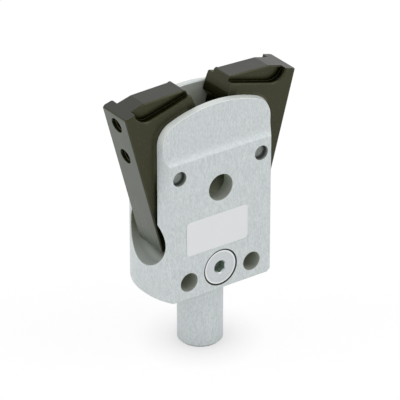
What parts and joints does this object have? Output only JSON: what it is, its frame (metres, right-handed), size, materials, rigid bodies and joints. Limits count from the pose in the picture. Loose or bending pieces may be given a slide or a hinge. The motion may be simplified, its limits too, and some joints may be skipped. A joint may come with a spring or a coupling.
{
  "type": "sprue angular gripper",
  "caption": "Pneumatic angular gripper: slotted round body with flats on a clamping shank, ribbed jaws that swing on cross pins and close on a sprue.",
  "frame": {"origin": "centre of the shank's end face", "axes": "+Z along the shank towards the jaw tips, X across the pivot pins, the front flat faces -Y"},
  "size_m": [0.0516, 0.0182, 0.0744],
  "materials": {
    "body": "fine blasted",
    "jaw": "burnished black",
    "pin": "ground",
    "bush": "turned",
    "washer": "plain",
    "piston": "turned",
    "seal": "matt",
    "thrust_pin": "hardened and ground",
    "spring": "drawn wire",
    "plug": "zinc plated"
  },
  "bodies": {
    "base": {"gripper_body": "body", "left_pivot_pin": "pin", "right_pivot_pin": "pin", "left_front_washer": "washer", "left_rear_washer": "washer", "right_front_washer": "washer", "right_rear_washer": "washer", "port_plug": "plug", "port_plug_seal": "seal", "return_spring": "spring"},
    "left_lever": {"left_jaw": "jaw", "left_pivot_bush": "bush"},
    "right_lever": {"right_jaw": "jaw", "right_pivot_bush": "bush"},
    "left_plunger": {"left_piston": "piston", "left_piston_seal": "seal", "left_thrust_pin": "thrust_pin"},
    "right_plunger": {"right_piston": "piston", "right_piston_seal": "seal", "right_thrust_pin": "thrust_pin"}
  },
  "joints": [
    {"name": "left_jaw_swing", "type": "hinge", "parent": "base", "child": "left_lever", "pos_m": [-0.0125, 0, 0.0537], "axis": [0, 1, 0], "range_deg": [0, 18], "stiffness_Nm_per_rad": 0.06, "springref_deg": -28.65, "deforming": ["return_spring"]},
    {"name": "right_jaw_swing", "type": "hinge", "parent": "base", "child": "right_lever", "pos_m": [0.0125, 0, 0.0537], "axis": [0, -1, 0], "range_deg": [0, 18], "stiffness_Nm_per_rad": 0.06, "springref_deg": -28.65},
    {"name": "left_piston_slide", "type": "slide", "parent": "base", "child": "left_plunger", "axis": [-1, 0, 0], "range_m": [0, 0.00616]},
    {"name": "right_piston_slide", "type": "slide", "parent": "base", "child": "right_plunger", "axis": [1, 0, 0], "range_m": [0, 0.00616]}
  ],
  "couplings": [
    {"joint": "right_jaw_swing", "follows": "left_jaw_swing", "ratio": 1},
    {"joint": "left_piston_slide", "follows": "left_jaw_swing", "m_per_rad": 0.01957},
    {"joint": "right_piston_slide", "follows": "left_jaw_swing", "m_per_rad": 0.01957}
  ]
}
